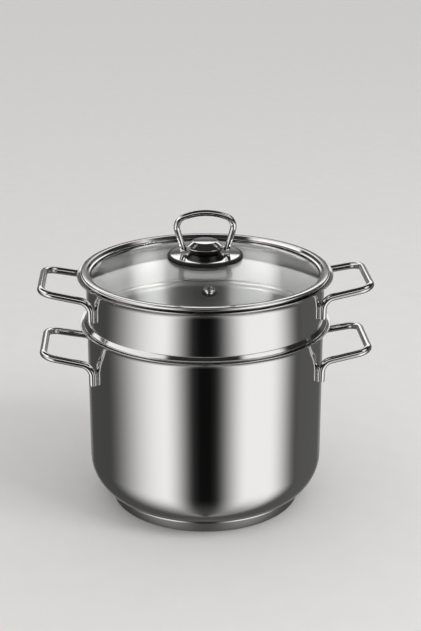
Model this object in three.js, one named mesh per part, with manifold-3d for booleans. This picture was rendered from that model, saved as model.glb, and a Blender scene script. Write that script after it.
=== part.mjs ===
// Pasta pot, nominal 22 cm: a stock pot, a lift-out strainer insert and a domed glass lid.
// Millimetres, +Z up. The origin is under the middle of the base, and the side handles lie along X.
import * as THREE from 'three';
import { mergeVertices } from 'three/addons/utils/BufferGeometryUtils.js';
import Module from 'manifold-3d';

const wasm = await Module();
wasm.setup();

// Facets round a full turn of the vessel's pieces, of the knob's pieces and of small fasteners
const ROUND = 36;
const KNOB_ROUND = 24;
const SMALL_ROUND = 16;
// Gap left between pieces that rest on, are pressed against or are welded to each other
const FIT = 0.2;

// Drawn sheet of the pot and the insert, which share one bore
const SHEET = 0.6;
const BORE_R = 110;
const WALL_R = BORE_R + SHEET;

// Pot body: underside of the floor, round corner up to the wall, top and outside round of the pouring lip
const FLOOR_Z = 5.5;
const CORNER_R = 39;
const POT_H = 178.4;
const POT_FLARE_R = 7.4;

// Capsule base: height of its seam on the body, sheet, taper of its side and round of its foot
const SEAM_Z = 11.4;
const CAP_SHEET = 0.7;
const CAP_TAPER = 3.6;
const CAP_FOOT_R = 2.5;

// Insert: shoulder that seats in the pot's lip, collar above it and perforated basket below it
const SHOULDER_OUT = 3.2;
const SHOULDER_H = 4.3;
const SHOULDER_EDGE_R = 0.8;
const COLLAR_H = 48;
const COLLAR_FLARE_R = 8.8;
const BASKET_PLAY = 4.6;
const BASKET_DEPTH = 146.2;
const BASKET_CORNER_R = 22;
const LEDGE_FILLET_R = 2;
const HOLE_D = 6;
const HOLES_IN_ROW = 18;
const HOLE_ROW_PITCH = 16;
const PERFORATED_H = 70;
const PERFORATED_RISE = 10;
const RING_PITCH = 22;
const RING_MARGIN = 8;
const HOLE_SIDES = 6;

// Side handles: bent wire, half the distance between the legs, leg height, reach and tilt of the arms
const HANDLE_WIRE_D = 6.8;
const LEG_HALF_SPAN = 41;
const BAR_HALF_SPAN = 37;
const LEG_H = 19;
const HANDLE_REACH = 41;
const ARM_TILT = THREE.MathUtils.degToRad(11.3);
const LEG_BEND_R = 12;
const BAR_BEND_R = 13;
const WELD_FLAT = 0.4;
const POT_HANDLE_DROP = 49.8;
const INSERT_HANDLE_DROP = 35;
const WIRE_SIDES = 8;
const HANDLE_STEPS = 28;

// Lid: rolled band that rests in the insert's lip and holds the edge of the glass
const RIM_SHEET = 0.5;
const RIM_OUT = 5.2;
const RIM_PLAY = 0.4;
const RIM_EDGE_R = 1.5;
const RIM_CREST = 3.8;
const RIM_RING_W = 5.6;
const RIM_RING_FALL = 0.5;
const RIM_LIP_W = 1.8;
const RIM_LIP_FALL = 0.2;
const FLANGE_RISE = 0.9;
const FLANGE_GRIP = 2.1;
const SEAL_T = 0.6;
const SEAL_SHOW = 0.4;
const GLASS_T = 4;
const DOME_RISE = 16.4;
const GLASS_EDGE_CHAMFER = 0.6;

// Steam vent: eyelet through the glass and the ring that it is rolled over
const VENT_AT_R = 77;
const VENT_BORE_R = 2.4;
const VENT_TUBE_T = 0.8;
const VENT_FLANGE_R = 5.2;
const VENT_FLANGE_T = 1;
const VENT_ROLL_R = 4.6;
const VENT_WASHER_R = 6.6;
const VENT_WASHER_T = 0.8;

// Knob: black pad, crowned disc let into it, round hub and bent wire loop
const PAD_R = 35.2;
const PAD_EDGE_H = 3.2;
const PAD_EDGE_R = 1;
const PLATE_R = 32.6;
const PLATE_T = 1;
const PLATE_PROUD = 0.4;
const PLATE_CROWN = 1.2;
const HUB_FOOT_R = 14;
const HUB_WAIST_R = 18.6;
const HUB_TOP_R = 11.3;
const HUB_H = 10.8;
const HUB_WAIST_H = 5.3;
const HUB_CHAMFER = 0.6;
const LOOP_WIRE_D = 5.9;
const LOOP_FOOT_X = 19.85;
const LOOP_FOOT_RISE = 0.8;
const LOOP_SHOULDER_X = 28.6;
const LOOP_H = 40.3;
const LOOP_SHOULDER_DROP = 9.6;
const LOOP_BEND_R = 10.5;
const LOOP_CROWN_R = 52;
const LOOP_STEPS = 24;

// Screw that clamps the knob to the glass from below
const SCREW_R = 2.5;
const SCREW_GRIP = 7;
const SCREW_HEAD_R = 5;
const SCREW_HEAD_H = 3;
const SCREW_SLOT_W = 1.2;
const SCREW_SLOT_H = 1.4;
const SCREW_WASHER_R = 7;
const SCREW_WASHER_T = 1;
const SCREW_SEAL_R = 8.5;
const SCREW_SEAL_T = 1.5;

// Finishes
const steel = { color: 0xc8c8ca, roughness: 0.22, metalness: 1 };
const mirrorSteel = { color: 0xd6d6d8, roughness: 0.08, metalness: 1 };
const aluminium = { color: 0xb8babd, roughness: 0.5, metalness: 1 };
const silicone = { color: 0x16161a, roughness: 0.6, metalness: 0 };
const clearGlass = { color: 0xe4ebea, roughness: 0.03, metalness: 0, transparent: true, opacity: 0.3 };

// Geometry helpers: profiles are lists of [radius, height] pairs

// Points on an arc about (r, z), angles in degrees
function arc(r, z, radius, from, to, steps) {
  const points = [];
  for (let i = 0; i <= steps; i += 1) {
    const angle = THREE.MathUtils.degToRad(from + ((to - from) * i) / steps);
    points.push([r + radius * Math.cos(angle), z + radius * Math.sin(angle)]);
  }
  return points;
}

// Closed section of a bent sheet: the outline and its copy set off to the left by the thickness
function thicken(outline, thickness) {
  const line = outline.map(([r, z]) => new THREE.Vector2(r, z));
  const normals = line.slice(1).map((point, i) => {
    const run = point.clone().sub(line[i]).normalize();
    return new THREE.Vector2(-run.y, run.x);
  });
  const offset = line.map((point, i) => {
    const before = normals[Math.max(i - 1, 0)];
    const after = normals[Math.min(i, normals.length - 1)];
    const mitre = before.clone().add(after).normalize();
    return point.clone().addScaledVector(mitre, thickness / mitre.dot(after));
  });
  return [...line, ...offset.reverse()].map((point) => [point.x, point.y]);
}

// One closed body with shared corners and no empty triangles
function weld(geometry) {
  geometry.deleteAttribute('normal');
  geometry.deleteAttribute('uv');
  const merged = mergeVertices(geometry, 1e-4);
  const index = merged.index.array;
  const kept = [];
  for (let i = 0; i < index.length; i += 3) {
    const [a, b, c] = index.slice(i, i + 3);
    if (a !== b && b !== c && c !== a) kept.push(a, b, c);
  }
  merged.setIndex(kept);
  return merged;
}

// A section, listed counter-clockwise, turned about the Z axis
function turned(profile, segments) {
  const points = profile.map(([r, z]) => new THREE.Vector2(Math.max(r, 0), z));
  const last = points[points.length - 1];
  if (points[0].x > 0 || last.x > 0) points.push(points[0].clone());
  const geometry = new THREE.LatheGeometry(points, segments);
  geometry.rotateX(Math.PI / 2);
  return weld(geometry);
}

function toSolid(geometry) {
  const vertProperties = new Float32Array(geometry.attributes.position.array);
  const triVerts = new Uint32Array(geometry.index.array);
  return new wasm.Manifold(new wasm.Mesh({ numProp: 3, vertProperties, triVerts }));
}

function toGeometry(solid) {
  const mesh = solid.getMesh();
  const geometry = new THREE.BufferGeometry();
  geometry.setAttribute('position', new THREE.BufferAttribute(mesh.vertProperties, 3));
  geometry.setIndex(new THREE.BufferAttribute(mesh.triVerts, 1));
  return geometry;
}

function cut(geometry, tools) {
  let solid = toSolid(geometry);
  for (const tool of tools) solid = solid.subtract(toSolid(tool));
  return toGeometry(solid);
}

// Round bar along Z, centred on the origin
function bar(radius, length, sides) {
  const geometry = new THREE.CylinderGeometry(radius, radius, length, sides);
  geometry.rotateX(Math.PI / 2);
  return weld(geometry);
}

// Path through the corners, each rounded by its own bend radius
function bentPath(corners, bends) {
  const path = new THREE.CurvePath();
  let from = corners[0];
  for (let i = 1; i < corners.length - 1; i += 1) {
    const back = corners[i - 1].clone().sub(corners[i]).normalize();
    const ahead = corners[i + 1].clone().sub(corners[i]).normalize();
    const trim = bends[i - 1] / Math.tan(back.angleTo(ahead) / 2);
    const start = corners[i].clone().addScaledVector(back, trim);
    const end = corners[i].clone().addScaledVector(ahead, trim);
    path.add(new THREE.LineCurve3(from, start));
    path.add(new THREE.QuadraticBezierCurve3(start, corners[i], end));
    from = end;
  }
  path.add(new THREE.LineCurve3(from, corners[corners.length - 1]));
  return path;
}

function wire(path, diameter, steps) {
  const section = new THREE.Shape();
  for (let i = 0; i < WIRE_SIDES; i += 1) {
    const angle = (2 * Math.PI * (i + 0.5)) / WIRE_SIDES;
    const x = (diameter / 2) * Math.cos(angle);
    const y = (diameter / 2) * Math.sin(angle);
    if (i === 0) section.moveTo(x, y);
    else section.lineTo(x, y);
  }
  return weld(new THREE.ExtrudeGeometry(section, { steps, extrudePath: path, bevelEnabled: false }));
}

function piece(name, geometry, finish) {
  const mesh = new THREE.Mesh(geometry, new THREE.MeshStandardMaterial(finish));
  mesh.name = name;
  return mesh;
}

// Levels that one piece passes on to the next

// Outline of a pouring lip, from the wall out to its edge
function flare(lipTop, flareR) {
  return arc(WALL_R + flareR, lipTop - SHEET - flareR, flareR, 180, 90, 3);
}

// Height of a lip's upper surface where something seats on it, at a distance out from the wall
function flareTop(lipTop, flareR, out) {
  const upperR = flareR + SHEET;
  return lipTop - upperR + Math.sqrt(upperR ** 2 - (flareR - out) ** 2);
}

const SHOULDER_R = WALL_R + SHOULDER_OUT;
const SEAT_Z = flareTop(POT_H, POT_FLARE_R, SHOULDER_OUT) + FIT;
const INSERT_H = SEAT_Z + COLLAR_H;
const BASKET_R = BORE_R - BASKET_PLAY;
const BASKET_Z = SEAT_Z - BASKET_DEPTH;

const RIM_R = WALL_R + RIM_OUT;
const LID_Z = flareTop(INSERT_H, COLLAR_FLARE_R, RIM_OUT) + FIT;
const PLUG_R = BORE_R - RIM_PLAY;
const GLASS_R = PLUG_R - RIM_SHEET - FIT;
const FLANGE_R = PLUG_R - RIM_SHEET - FLANGE_GRIP;
const FLANGE_Z = LID_Z + FLANGE_RISE - RIM_SHEET;
const GLASS_FLANGE_Z = FLANGE_Z - SEAL_T - 2 * FIT;
const APEX_Z = GLASS_FLANGE_Z + DOME_RISE;
const DOME_R = (FLANGE_R ** 2 + DOME_RISE ** 2) / (2 * DOME_RISE);

// Upper surface of the glass at a radius
function domeTop(radius) {
  return APEX_Z - DOME_R + Math.sqrt(DOME_R ** 2 - radius ** 2);
}

const PAD_TOP_Z = domeTop(PAD_R) + FIT + PAD_EDGE_H;
const PLATE_TOP_Z = PAD_TOP_Z + PLATE_PROUD;
const HUB_Z = PLATE_TOP_Z + PLATE_CROWN + FIT;
const GLASS_UNDER_Z = domeTop(SCREW_SEAL_R) - GLASS_T;
const SCREW_HOLE_R = SCREW_R + FIT;

// Stock pot

function potBody() {
  const outline = [
    [0, FLOOR_Z],
    ...arc(WALL_R - CORNER_R, FLOOR_Z + CORNER_R, CORNER_R, -90, 0, 5),
    ...flare(POT_H, POT_FLARE_R),
  ];
  return turned(thicken(outline, SHEET), ROUND);
}

// Outside of the body's round corner at a height, grown by a gap
function cornerRadiusAt(z, gap) {
  const radius = CORNER_R + gap;
  const drop = FLOOR_Z + CORNER_R - z;
  return WALL_R - CORNER_R + Math.sqrt(radius ** 2 - drop ** 2);
}

const CAP_R = cornerRadiusAt(SEAM_Z, FIT) + CAP_SHEET;
const CAP_FOOT_EDGE_R = CAP_R - CAP_TAPER;

// Outside of the capsule, from its middle to the seam
function capOutline() {
  return [
    [0, 0],
    ...arc(CAP_FOOT_EDGE_R - CAP_FOOT_R, CAP_FOOT_R, CAP_FOOT_R, -90, -15, 2),
    [CAP_R, SEAM_Z],
  ];
}

function baseCap() {
  return turned(thicken(capOutline(), CAP_SHEET), ROUND);
}

// The disc fills the capsule and hugs the round corner of the body above it
function baseCore() {
  const section = thicken(capOutline(), CAP_SHEET + FIT);
  const inside = section.slice(section.length / 2).reverse().slice(0, -1);
  const reach = CORNER_R + FIT;
  const topZ = SEAM_Z - CAP_SHEET;
  const edge = THREE.MathUtils.radToDeg(Math.asin((FLOOR_Z + CORNER_R - topZ) / reach));
  const hug = arc(WALL_R - CORNER_R, FLOOR_Z + CORNER_R, reach, -edge, -90, 3);
  return turned([...inside, ...hug, [0, FLOOR_Z - FIT]], ROUND);
}

// Strainer insert

function insertShell() {
  const outline = [
    [0, BASKET_Z],
    ...arc(BASKET_R - BASKET_CORNER_R, BASKET_Z + BASKET_CORNER_R, BASKET_CORNER_R, -90, 0, 4),
    ...arc(BASKET_R + LEDGE_FILLET_R, SEAT_Z - LEDGE_FILLET_R, LEDGE_FILLET_R, 180, 90, 1),
    ...arc(SHOULDER_R - SHOULDER_EDGE_R, SEAT_Z + SHOULDER_EDGE_R, SHOULDER_EDGE_R, -90, 45, 2),
    [WALL_R, SEAT_Z + SHOULDER_H],
    ...flare(INSERT_H, COLLAR_FLARE_R),
  ];
  return turned(thicken(outline, SHEET), ROUND);
}

// Staggered rows of holes round the basket, each in the middle of a facet
function wallHoles() {
  const holes = [];
  const rows = Math.floor(PERFORATED_H / HOLE_ROW_PITCH) + 1;
  const firstRow = BASKET_Z + BASKET_CORNER_R + PERFORATED_RISE;
  const facet = (2 * Math.PI) / ROUND;
  for (let row = 0; row < rows; row += 1) {
    for (let i = 0; i < HOLES_IN_ROW; i += 1) {
      const angle = (i * 2 * Math.PI) / HOLES_IN_ROW + facet * (0.5 + (row % 2));
      const hole = bar(HOLE_D / 2, BASKET_CORNER_R, HOLE_SIDES);
      hole.rotateX(Math.PI / 2);
      hole.translate(0, -BASKET_R, firstRow + row * HOLE_ROW_PITCH);
      holes.push(hole.rotateZ(angle));
    }
  }
  return holes;
}

// Rings of holes in the flat bottom, six more in each ring
function bottomHoles() {
  const holes = [];
  const flatR = BASKET_R - BASKET_CORNER_R - RING_MARGIN;
  const rings = Math.floor(flatR / RING_PITCH);
  for (let ring = 0; ring <= rings; ring += 1) {
    const count = Math.max(6 * ring, 1);
    for (let i = 0; i < count; i += 1) {
      const hole = bar(HOLE_D / 2, BASKET_CORNER_R, HOLE_SIDES);
      hole.translate(ring * RING_PITCH, 0, BASKET_Z);
      holes.push(hole.rotateZ((i * 2 * Math.PI) / count));
    }
  }
  return holes;
}

function insertBody() {
  return cut(insertShell(), [...wallHoles(), ...bottomHoles()]);
}

// Side handles

// Loop of wire on the +X side, its legs pressed flat against the wall; the feet are at footZ
function sideHandle(footZ) {
  const legR = WALL_R + HANDLE_WIRE_D / 2 - WELD_FLAT;
  const legX = Math.sqrt(legR ** 2 - LEG_HALF_SPAN ** 2);
  const barX = WALL_R + HANDLE_REACH;
  const barZ = footZ + LEG_H + (barX - legX) * Math.tan(ARM_TILT);
  const corners = [
    new THREE.Vector3(legX, -LEG_HALF_SPAN, footZ),
    new THREE.Vector3(legX, -LEG_HALF_SPAN, footZ + LEG_H),
    new THREE.Vector3(barX, -BAR_HALF_SPAN, barZ),
    new THREE.Vector3(barX, BAR_HALF_SPAN, barZ),
    new THREE.Vector3(legX, LEG_HALF_SPAN, footZ + LEG_H),
    new THREE.Vector3(legX, LEG_HALF_SPAN, footZ),
  ];
  const path = bentPath(corners, [LEG_BEND_R, BAR_BEND_R, BAR_BEND_R, LEG_BEND_R]);
  const wall = bar(WALL_R + FIT, 4 * LEG_H, ROUND);
  wall.translate(0, 0, footZ + LEG_H);
  return cut(wire(path, HANDLE_WIRE_D, HANDLE_STEPS), [wall]);
}

function handlePair(prefix, footZ) {
  const right = piece(`${prefix}_handle_right`, sideHandle(footZ), mirrorSteel);
  const left = piece(`${prefix}_handle_left`, sideHandle(footZ), mirrorSteel);
  left.rotation.z = Math.PI;
  return [left, right];
}

// Lid

// Radii where the dome's facets change: under the seal, under the pad, then evenly out to its edge
function domeRadii() {
  const edgeR = GLASS_R - GLASS_EDGE_CHAMFER;
  const steps = [1, 2, 3].map((i) => PAD_R + ((edgeR - PAD_R) * i) / 3);
  return [SCREW_HOLE_R, SCREW_SEAL_R, PAD_R, ...steps];
}

function lidGlass() {
  const top = domeRadii().map((radius) => [radius, domeTop(radius)]);
  const under = top.map(([radius, z]) => [radius, z - GLASS_T]);
  const rim = [
    [GLASS_R, domeTop(GLASS_R) - GLASS_T + GLASS_EDGE_CHAMFER],
    [GLASS_R, domeTop(GLASS_R) - GLASS_EDGE_CHAMFER],
  ];
  const dome = turned([...under, ...rim, ...top.reverse()], ROUND);
  const bore = bar(VENT_BORE_R + VENT_TUBE_T + FIT, 4 * GLASS_T, SMALL_ROUND);
  bore.applyMatrix4(ventPlace());
  return cut(dome, [bore]);
}

// The vent stands square to the dome, on the side of the lid that faces -Y
function ventPlace() {
  const lean = Math.asin(VENT_AT_R / DOME_R);
  const place = new THREE.Matrix4().makeRotationX(lean);
  return place.setPosition(0, -VENT_AT_R, domeTop(VENT_AT_R));
}

// Band: a broad ring outside, a step down from it and a narrow lip on the glass
function lidRim() {
  const hemZ = domeTop(GLASS_R) - GLASS_T - FIT;
  const wallR = PLUG_R - RIM_SHEET;
  const crestZ = LID_Z + RIM_CREST;
  const lipZ = FLANGE_Z + RIM_SHEET;
  const section = [
    [FLANGE_R, hemZ - RIM_SHEET],
    [wallR, hemZ - RIM_SHEET],
    [PLUG_R, hemZ],
    [PLUG_R, LID_Z],
    ...arc(RIM_R - RIM_EDGE_R, LID_Z + RIM_EDGE_R, RIM_EDGE_R, -90, 0, 1),
    ...arc(RIM_R - RIM_EDGE_R, crestZ - RIM_EDGE_R, RIM_EDGE_R, 0, 90, 2),
    [RIM_R - RIM_RING_W, crestZ - RIM_RING_FALL],
    [FLANGE_R + RIM_LIP_W, lipZ + RIM_LIP_FALL],
    [FLANGE_R, lipZ],
    [FLANGE_R, FLANGE_Z],
    [wallR, FLANGE_Z],
    [wallR, hemZ],
    [FLANGE_R, hemZ],
  ];
  return turned(section, ROUND);
}

function rimSeal() {
  const innerR = FLANGE_R - SEAL_SHOW;
  const outerR = GLASS_R - GLASS_EDGE_CHAMFER;
  const section = [
    [innerR, domeTop(innerR) + FIT],
    [outerR, domeTop(outerR) + FIT],
    [outerR, FLANGE_Z - FIT],
    [innerR, FLANGE_Z - FIT],
  ];
  return turned(section, ROUND);
}

// Eyelet about its own axis, with the glass's upper surface at height 0
function ventEyelet() {
  const tubeR = VENT_BORE_R + VENT_TUBE_T;
  const rollTop = -GLASS_T - 2 * FIT - VENT_WASHER_T - FIT;
  const section = [
    [VENT_BORE_R, rollTop - VENT_TUBE_T],
    [VENT_ROLL_R, rollTop - VENT_TUBE_T],
    [VENT_ROLL_R, rollTop],
    [tubeR, rollTop],
    [tubeR, FIT],
    [VENT_FLANGE_R, FIT],
    [VENT_FLANGE_R - VENT_FLANGE_T, FIT + VENT_FLANGE_T],
    [VENT_BORE_R + VENT_TUBE_T / 2, FIT + VENT_FLANGE_T],
    [VENT_BORE_R, FIT],
  ];
  return turned(section, SMALL_ROUND);
}

function flatRing(innerR, outerR, topZ, thickness, segments) {
  const section = [
    [innerR, topZ - thickness],
    [outerR, topZ - thickness],
    [outerR, topZ],
    [innerR, topZ],
  ];
  return turned(section, segments);
}

function ventWasher() {
  const innerR = VENT_BORE_R + VENT_TUBE_T + FIT;
  return flatRing(innerR, VENT_WASHER_R, -GLASS_T - 2 * FIT, VENT_WASHER_T, SMALL_ROUND);
}

// Knob

function knobPad() {
  const under = [SCREW_HOLE_R, SCREW_SEAL_R, PAD_R].map((radius) => [radius, domeTop(radius) + FIT]);
  const recessZ = PLATE_TOP_Z - PLATE_T - FIT;
  const section = [
    ...under,
    [PAD_R, PAD_TOP_Z - PAD_EDGE_R],
    [PAD_R - PAD_EDGE_R, PAD_TOP_Z],
    [PLATE_R + FIT, PAD_TOP_Z],
    [PLATE_R + FIT, recessZ],
    [SCREW_HOLE_R, recessZ],
  ];
  return turned(section, KNOB_ROUND);
}

// Disc, flat below and crowned above
function knobPlate() {
  const underZ = PLATE_TOP_Z - PLATE_T;
  const radii = [PLATE_R, (2 * PLATE_R) / 3, PLATE_R / 3, SCREW_HOLE_R];
  const crown = radii.map((radius) => [radius, PLATE_TOP_Z + PLATE_CROWN * (1 - (radius / PLATE_R) ** 2)]);
  return turned([[SCREW_HOLE_R, underZ], [PLATE_R, underZ], ...crown], KNOB_ROUND);
}

// Outside of the hub from its foot to its top, grown by a gap
function hubOutline(gap) {
  return [
    [HUB_FOOT_R + gap, HUB_Z - gap],
    [HUB_WAIST_R + gap, HUB_Z + HUB_WAIST_H - HUB_CHAMFER],
    [HUB_WAIST_R + gap, HUB_Z + HUB_WAIST_H + HUB_CHAMFER],
    [HUB_TOP_R + gap, HUB_Z + HUB_H - HUB_CHAMFER],
    [HUB_TOP_R - HUB_CHAMFER, HUB_Z + HUB_H + gap],
    [0, HUB_Z + HUB_H + gap],
  ];
}

function knobHub() {
  const boreTop = HUB_Z + SCREW_GRIP + FIT;
  const section = [[0, boreTop], [SCREW_HOLE_R, boreTop], [SCREW_HOLE_R, HUB_Z], ...hubOutline(0)];
  return turned(section, KNOB_ROUND);
}

// Loop in the XZ plane, its feet coped to the side of the hub
function knobLoop() {
  const footZ = HUB_Z + LOOP_FOOT_RISE;
  const topZ = HUB_Z + LOOP_H;
  const corners = [
    new THREE.Vector3(-LOOP_FOOT_X, 0, footZ),
    new THREE.Vector3(-LOOP_SHOULDER_X, 0, topZ - LOOP_SHOULDER_DROP),
    new THREE.Vector3(0, 0, topZ),
    new THREE.Vector3(LOOP_SHOULDER_X, 0, topZ - LOOP_SHOULDER_DROP),
    new THREE.Vector3(LOOP_FOOT_X, 0, footZ),
  ];
  const path = bentPath(corners, [LOOP_BEND_R, LOOP_CROWN_R, LOOP_BEND_R]);
  const hub = turned([[0, HUB_Z - FIT], ...hubOutline(FIT)], KNOB_ROUND);
  return cut(wire(path, LOOP_WIRE_D, LOOP_STEPS), [hub]);
}

// Screw, its head under the washers and its end in the hub
function knobScrew() {
  const shoulderZ = GLASS_UNDER_Z - SCREW_SEAL_T - SCREW_WASHER_T - 3 * FIT;
  const headZ = shoulderZ - SCREW_HEAD_H;
  const section = [
    [0, headZ],
    [SCREW_HEAD_R - SCREW_SLOT_H, headZ],
    [SCREW_HEAD_R, headZ + SCREW_SLOT_H],
    [SCREW_HEAD_R, shoulderZ],
    [SCREW_R, shoulderZ],
    [SCREW_R, HUB_Z + SCREW_GRIP],
    [0, HUB_Z + SCREW_GRIP],
  ];
  const slot = new THREE.BoxGeometry(4 * SCREW_HEAD_R, SCREW_SLOT_W, 2 * SCREW_SLOT_H);
  slot.translate(0, 0, headZ);
  return cut(turned(section, SMALL_ROUND), [weld(slot)]);
}

function screwWasher() {
  const topZ = GLASS_UNDER_Z - SCREW_SEAL_T - 2 * FIT;
  return flatRing(SCREW_HOLE_R, SCREW_WASHER_R, topZ, SCREW_WASHER_T, SMALL_ROUND);
}

function screwSeal() {
  return flatRing(SCREW_HOLE_R, SCREW_SEAL_R, GLASS_UNDER_Z - FIT, SCREW_SEAL_T, SMALL_ROUND);
}

// Assembly

const pot = new THREE.Group();
pot.add(piece('pot_body', potBody(), steel));
pot.add(piece('base_core', baseCore(), aluminium));
pot.add(piece('base_cap', baseCap(), steel));
pot.add(...handlePair('pot', POT_H - POT_HANDLE_DROP));

const insert = new THREE.Group();
insert.add(piece('insert_body', insertBody(), steel));
insert.add(...handlePair('insert', INSERT_H - INSERT_HANDLE_DROP));

const vent = new THREE.Group();
vent.applyMatrix4(ventPlace());
vent.add(piece('vent_eyelet', ventEyelet(), mirrorSteel));
vent.add(piece('vent_washer', ventWasher(), steel));

const knob = new THREE.Group();
knob.add(piece('knob_pad', knobPad(), silicone));
knob.add(piece('knob_plate', knobPlate(), mirrorSteel));
knob.add(piece('knob_hub', knobHub(), mirrorSteel));
knob.add(piece('knob_loop', knobLoop(), mirrorSteel));
knob.add(piece('knob_screw', knobScrew(), steel));
knob.add(piece('screw_washer', screwWasher(), steel));
knob.add(piece('screw_seal', screwSeal(), silicone));

const lid = new THREE.Group();
lid.add(piece('lid_glass', lidGlass(), clearGlass));
lid.add(piece('lid_rim', lidRim(), mirrorSteel));
lid.add(piece('rim_seal', rimSeal(), silicone));
lid.add(vent, knob);

const pastaPot = new THREE.Group();
pastaPot.add(pot, insert, lid);

export default pastaPot;
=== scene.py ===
import math

import bmesh
import bpy
from mathutils import Matrix, Vector, kdtree


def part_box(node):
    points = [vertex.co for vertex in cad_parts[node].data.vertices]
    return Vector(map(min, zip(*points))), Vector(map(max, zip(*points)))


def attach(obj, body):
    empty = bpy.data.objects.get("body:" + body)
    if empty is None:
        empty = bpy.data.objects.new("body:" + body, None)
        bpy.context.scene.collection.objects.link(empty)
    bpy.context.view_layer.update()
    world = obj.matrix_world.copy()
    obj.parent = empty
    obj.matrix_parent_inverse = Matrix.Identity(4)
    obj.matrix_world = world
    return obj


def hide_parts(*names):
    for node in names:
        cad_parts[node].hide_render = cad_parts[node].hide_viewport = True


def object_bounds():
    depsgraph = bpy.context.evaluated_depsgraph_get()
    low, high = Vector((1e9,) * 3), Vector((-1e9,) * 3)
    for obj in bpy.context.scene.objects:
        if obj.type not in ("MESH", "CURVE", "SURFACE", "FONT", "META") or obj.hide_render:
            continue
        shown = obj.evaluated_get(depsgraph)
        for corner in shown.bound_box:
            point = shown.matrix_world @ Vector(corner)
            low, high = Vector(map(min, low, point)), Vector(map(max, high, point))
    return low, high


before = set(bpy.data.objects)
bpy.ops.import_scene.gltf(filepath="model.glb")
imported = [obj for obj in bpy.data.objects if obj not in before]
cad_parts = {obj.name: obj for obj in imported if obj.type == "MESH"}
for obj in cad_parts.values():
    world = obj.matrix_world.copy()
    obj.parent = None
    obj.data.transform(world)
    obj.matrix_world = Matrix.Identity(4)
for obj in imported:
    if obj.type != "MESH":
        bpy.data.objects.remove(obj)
cad_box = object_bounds()

# Pot body
# One stainless sheet drawn into a tall cup with a round foot, its rim rolled outward to a pouring lip.
# A polishing belt leaves fine lines round the wall, which blur reflections up and down but not sideways.
SHEET = 0.0006
POT_FLARE = 0.0074
POT_FOOT_ROUND = 0.039
LIP_FLAT = 0.0002
LIP_EDGE_ROUND = 0.00018
VESSEL_FACETS = 192
CORNER_STEP = math.radians(7.5)
SQUARE_EDGE = math.radians(50)
SHARP_EDGE = math.radians(40)
SEAM_GAP = 1e-6
pot_low, pot_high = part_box("pot_body")
wall_radius = pot_high.x - POT_FLARE


def outline(corners, closed):
    """Wire in the XZ plane through corners of (radius, height, round)."""
    bm = bmesh.new()
    points = [bm.verts.new((radius, 0, height)) for radius, height, _ in corners]
    following = points[1:] + (points[:1] if closed else [])
    for start, end in zip(points, following):
        bm.edges.new((start, end))
    for point, (_, _, rounding) in zip(points, corners):
        if rounding:
            round_corner(bm, point, rounding)
    return bm


def round_corner(bm, point, rounding):
    """Replace one corner of a wire by an arc that runs into both its sides."""
    sides = [edge.other_vert(point).co - point.co for edge in point.link_edges]
    corner = sides[0].angle(sides[1])
    segments = max(3, round((math.pi - corner) / CORNER_STEP))
    bmesh.ops.bevel(bm, geom=[point], offset=rounding / math.tan(corner / 2), offset_type="OFFSET",
                    segments=segments, profile=0.5, affect="VERTICES", material=-1)


def turn(bm, facets):
    """Turn a wire once about the Z axis, as a sheet is spun on a lathe."""
    bmesh.ops.spin(bm, geom=bm.verts[:] + bm.edges[:], cent=(0, 0, 0), axis=(0, 0, 1),
                   angle=2 * math.pi, steps=facets, use_merge=True)
    bmesh.ops.remove_doubles(bm, verts=bm.verts[:], dist=SEAM_GAP)
    bmesh.ops.recalc_face_normals(bm, faces=bm.faces[:])


def soften(bm, rounding, beyond=0):
    """Take the sharpness off the square edges that lie beyond a distance from the axis."""
    square = [edge for edge in bm.edges if edge.is_manifold and edge.calc_face_angle() > SQUARE_EDGE
              and edge.verts[0].co.xy.length > beyond]
    bmesh.ops.bevel(bm, geom=square, offset=rounding, offset_type="OFFSET",
                    segments=2, profile=0.5, affect="EDGES", material=-1)


def add_piece(bm, name, materials, body, node):
    """Make a finished mesh a piece that rides on a body in place of a solid."""
    mesh = bpy.data.meshes.new(name)
    bm.to_mesh(mesh)
    bm.free()
    mesh.shade_smooth()
    mesh.set_sharp_from_angle(angle=SHARP_EDGE)
    for material in materials:
        mesh.materials.append(material)
    piece = bpy.data.objects.new(name, mesh)
    bpy.context.scene.collection.objects.link(piece)
    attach(piece, body)
    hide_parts(node)


class Value:
    """One output socket; sums, differences and products of values add Math nodes."""

    def __init__(self, shader, socket):
        self.shader = shader
        self.socket = socket

    def __add__(self, other):
        return self.shader.math("ADD", self, other)

    def __radd__(self, other):
        return self.shader.math("ADD", other, self)

    def __sub__(self, other):
        return self.shader.math("SUBTRACT", self, other)

    def __rsub__(self, other):
        return self.shader.math("SUBTRACT", other, self)

    def __mul__(self, other):
        return self.shader.math("MULTIPLY", self, other)

    def __rmul__(self, other):
        return self.shader.math("MULTIPLY", other, self)


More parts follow.
